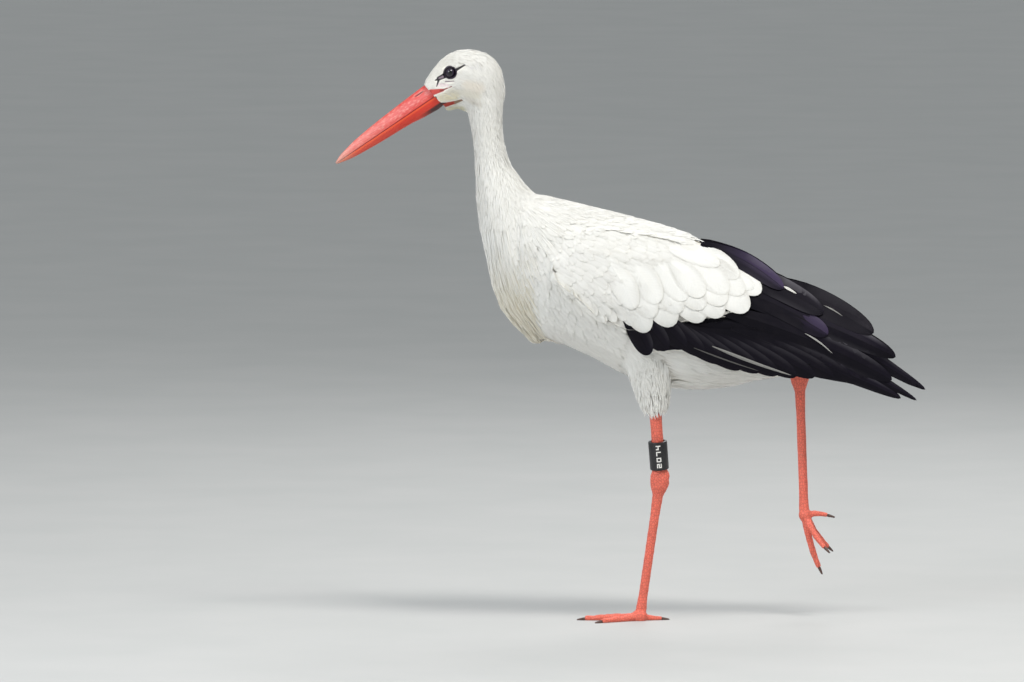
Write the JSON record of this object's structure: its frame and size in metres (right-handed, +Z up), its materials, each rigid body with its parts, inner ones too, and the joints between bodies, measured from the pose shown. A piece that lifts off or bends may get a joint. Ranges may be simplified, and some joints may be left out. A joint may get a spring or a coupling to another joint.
{
  "type": "white stork figure",
  "caption": "Life-size white stork walking: it stands on its left foot with the right leg trailing and lifted, wings folded, wearing a leg band.",
  "frame": {"origin": "middle of the standing (left) foot's sole, at ground level", "axes": "+X towards the tail, so the bird faces -X; +Y towards its right side; +Z up"},
  "size_m": [0.8226, 0.1858, 0.8],
  "materials": {
    "white_plumage": "matt white feathers with a cream tinge on the breast",
    "black_plumage": "satin black feathers with a faint purple gloss",
    "bill_horn": "semi-gloss red horn, paler at the tip",
    "leg_scales": "satin orange-red scaled skin",
    "claw_horn": "dull dark horn",
    "eye_gloss": "wet dark brown eye",
    "bare_skin": "bare black skin round the eye",
    "band_plastic": "matt black plastic leg band with white marks"
  },
  "bodies": {
    "root": {"head": "white_plumage", "neck_upper": "white_plumage", "neck_lower": "white_plumage", "ruff": "white_plumage", "trunk": "white_plumage", "tail": "white_plumage", "thigh_left": "white_plumage", "thigh_right": "white_plumage", "wing_left_coverts": "white_plumage", "wing_right_coverts": "white_plumage", "wing_left_secondaries": "black_plumage", "wing_left_primaries": "black_plumage", "wing_right_secondaries": "black_plumage", "wing_right_primaries": "black_plumage", "bill_upper": "bill_horn", "bill_lower": "bill_horn", "eye_left": "eye_gloss", "eye_right": "eye_gloss", "shank_left": "leg_scales", "tarsus_left": "leg_scales", "shank_right": "leg_scales", "tarsus_right": "leg_scales", "foot_left": "leg_scales", "toe_left_inner": "leg_scales", "toe_left_middle": "leg_scales", "toe_left_outer": "leg_scales", "toe_left_hind": "leg_scales", "foot_right": "leg_scales", "toe_right_inner": "leg_scales", "toe_right_middle": "leg_scales", "toe_right_outer": "leg_scales", "toe_right_hind": "leg_scales", "claw_left_inner": "claw_horn", "claw_left_middle": "claw_horn", "claw_left_outer": "claw_horn", "claw_left_hind": "claw_horn", "claw_right_inner": "claw_horn", "claw_right_middle": "claw_horn", "claw_right_outer": "claw_horn", "claw_right_hind": "claw_horn", "leg_band_left": "band_plastic"}
  },
  "joints": []
}
